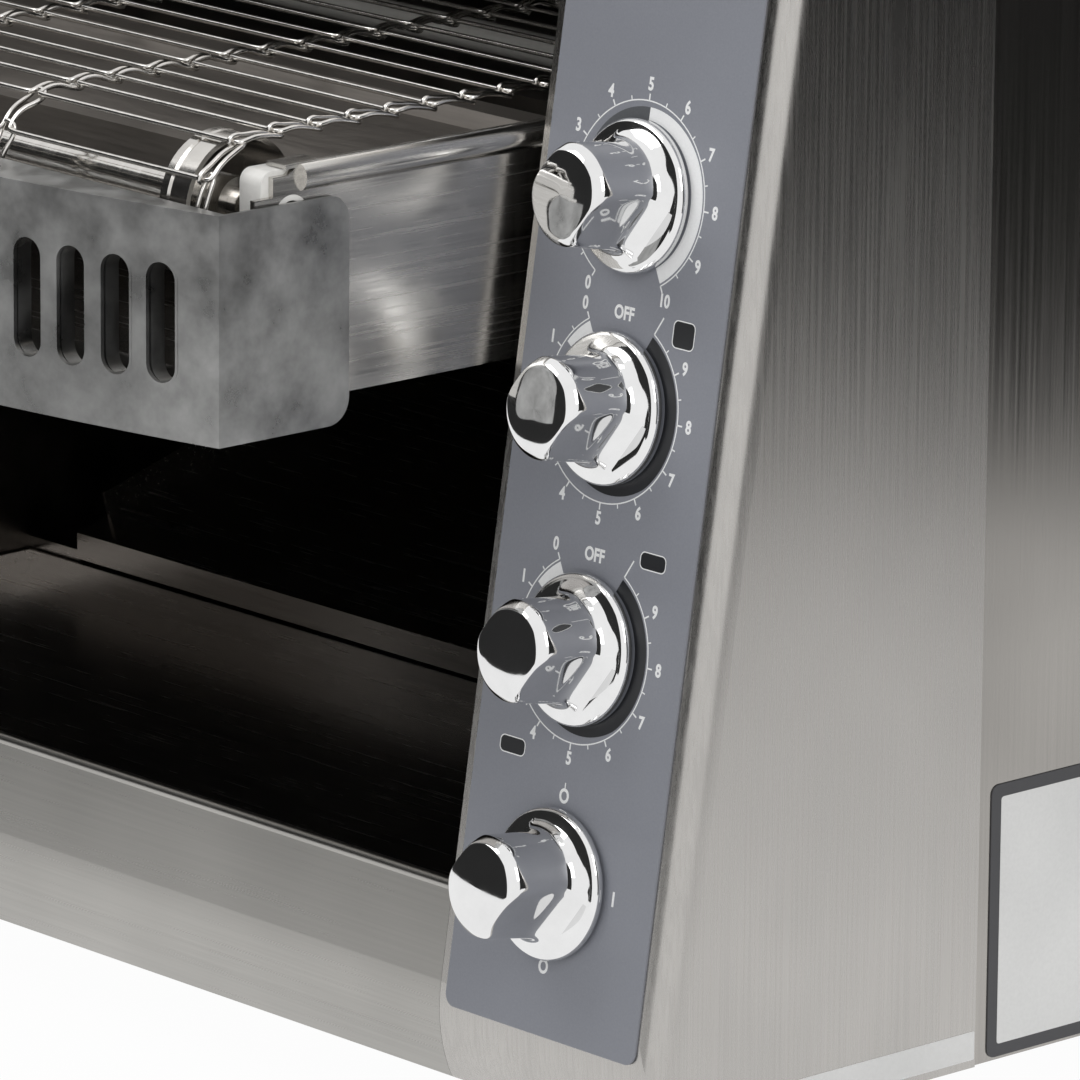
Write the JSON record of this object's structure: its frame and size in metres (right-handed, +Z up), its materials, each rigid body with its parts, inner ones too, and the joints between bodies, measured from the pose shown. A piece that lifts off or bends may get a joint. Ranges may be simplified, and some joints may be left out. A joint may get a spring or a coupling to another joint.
{
  "type": "conveyor toaster",
  "caption": "Counter-top conveyor toaster: a wire belt runs out of a tunnel between two housings, with a sloped control panel on the right, a slotted front guard and a toast tray below.",
  "frame": {"origin": "on the counter, under the middle of the whole", "axes": "+X to the user's right along the tunnel's width, +Y from the loading end to the back, +Z up"},
  "size_m": [0.571, 0.575, 0.416],
  "materials": {
    "stainless_brushed": "vertical brushed stainless sheet",
    "stainless_bright": "polished stainless wire and shafts",
    "steel_plain": "mill-finish inner sheet",
    "galvanised": "mottled dull plated sheet",
    "dark_polished": "mirror-polished sheet, dark in use",
    "overlay": "printed blue-grey panel film",
    "chrome_knob": "chromed knob",
    "quartz": "frosted quartz tube",
    "ceramic": "unglazed ceramic",
    "white_plastic": "white bearing plastic",
    "black_plastic": "black moulded plastic",
    "rubber_feet": "black feet",
    "bronze": "oiled bronze bearing",
    "chain_steel": "oiled chain steel",
    "motor_paint": "dark painted casting",
    "control_phenolic": "brown moulded control body"
  },
  "bodies": {
    "toaster_body": {"base_pan": "steel_plain", "base_apron": "stainless_brushed", "feet": "rubber_feet", "control_housing": "stainless_brushed", "right_side_panel": "stainless_brushed", "plain_housing": "stainless_brushed", "left_side_panel": "stainless_brushed", "rear_panel": "stainless_brushed", "top_cover": "stainless_brushed", "hood_front": "stainless_brushed", "inner_wall_right": "steel_plain", "inner_wall_left": "steel_plain", "control_overlay": "overlay", "upper_reflector": "steel_plain", "lower_reflector": "steel_plain", "loading_plate": "steel_plain", "upper_heaters": "quartz", "lower_heaters": "quartz", "heater_ceramics": "ceramic", "conveyor_rail_right": "steel_plain", "conveyor_rail_left": "steel_plain", "cross_bars": "steel_plain", "idler_bushings": "white_plastic", "drive_bearings": "bronze", "belt_top_run": "stainless_bright", "belt_bottom_run": "stainless_bright", "belt_front_wrap": "stainless_bright", "belt_rear_wrap": "stainless_bright", "drive_chain": "chain_steel", "gear_motor": "motor_paint", "motor_bracket": "steel_plain", "fan_housing": "black_plastic", "fan_guard": "stainless_bright", "terminal_block": "white_plastic", "cord_gland": "black_plastic", "speed_control": "control_phenolic", "top_heat_control": "control_phenolic", "bottom_heat_control": "control_phenolic", "power_switch": "control_phenolic", "toast_slide": "dark_polished", "rear_deflector": "steel_plain", "collection_tray": "dark_polished", "rear_screws": "stainless_bright"},
    "idler": {"idler_shaft": "stainless_bright", "idler_hubs": "stainless_bright"},
    "belt_drive": {"drive_shaft": "stainless_bright", "drive_sprockets": "stainless_bright", "driven_chain_wheel": "chain_steel"},
    "motor_output": {"motor_chain_wheel": "chain_steel"},
    "fan": {"fan_rotor": "black_plastic"},
    "crumb_drawer": {"crumb_tray": "steel_plain", "front_guard": "galvanised"},
    "speed_dial": {"speed_knob": "chrome_knob"},
    "top_heat_dial": {"top_heat_knob": "chrome_knob"},
    "bottom_heat_dial": {"bottom_heat_knob": "chrome_knob"},
    "power_dial": {"power_knob": "chrome_knob"}
  },
  "joints": [
    {"name": "drive_shaft_turn", "type": "hinge", "parent": "toaster_body", "child": "belt_drive", "pos_m": [0, 0.18667, 0.2994], "axis": [1, 0, 0], "continuous": true},
    {"name": "idler_turn", "type": "hinge", "parent": "toaster_body", "child": "idler", "pos_m": [0, -0.237, 0.29707], "axis": [1, 0, 0], "continuous": true},
    {"name": "motor_output_turn", "type": "hinge", "parent": "toaster_body", "child": "motor_output", "pos_m": [0.2088, 0.14067, 0.2134], "axis": [1, 0, 0], "continuous": true},
    {"name": "fan_turn", "type": "hinge", "parent": "toaster_body", "child": "fan", "pos_m": [0.2312, 0.26, 0.118], "axis": [0, 1, 0], "continuous": true},
    {"name": "crumb_drawer_slide", "type": "slide", "parent": "toaster_body", "child": "crumb_drawer", "axis": [0, -1, 0], "range_m": [0, 0.3]},
    {"name": "speed_turn", "type": "hinge", "parent": "toaster_body", "child": "speed_dial", "pos_m": [0.2325, -0.14648, 0.29897], "axis": [0, -0.9884, 0.1516], "range_deg": [-150, 150]},
    {"name": "top_heat_turn", "type": "hinge", "parent": "toaster_body", "child": "top_heat_dial", "pos_m": [0.2325, -0.15606, 0.2365], "axis": [0, -0.9884, 0.1516], "range_deg": [0, 300]},
    {"name": "bottom_heat_turn", "type": "hinge", "parent": "toaster_body", "child": "bottom_heat_dial", "pos_m": [0.2325, -0.16702, 0.16504], "axis": [0, -0.9884, 0.1516], "range_deg": [0, 300]},
    {"name": "power_turn", "type": "hinge", "parent": "toaster_body", "child": "power_dial", "pos_m": [0.2325, -0.17774, 0.09515], "axis": [0, -0.9884, 0.1516], "range_deg": [-180, 0]}
  ],
  "couplings": [
    {"joint": "idler_turn", "follows": "drive_shaft_turn", "ratio": 0.88889},
    {"joint": "motor_output_turn", "follows": "drive_shaft_turn", "ratio": 1.6667}
  ]
}
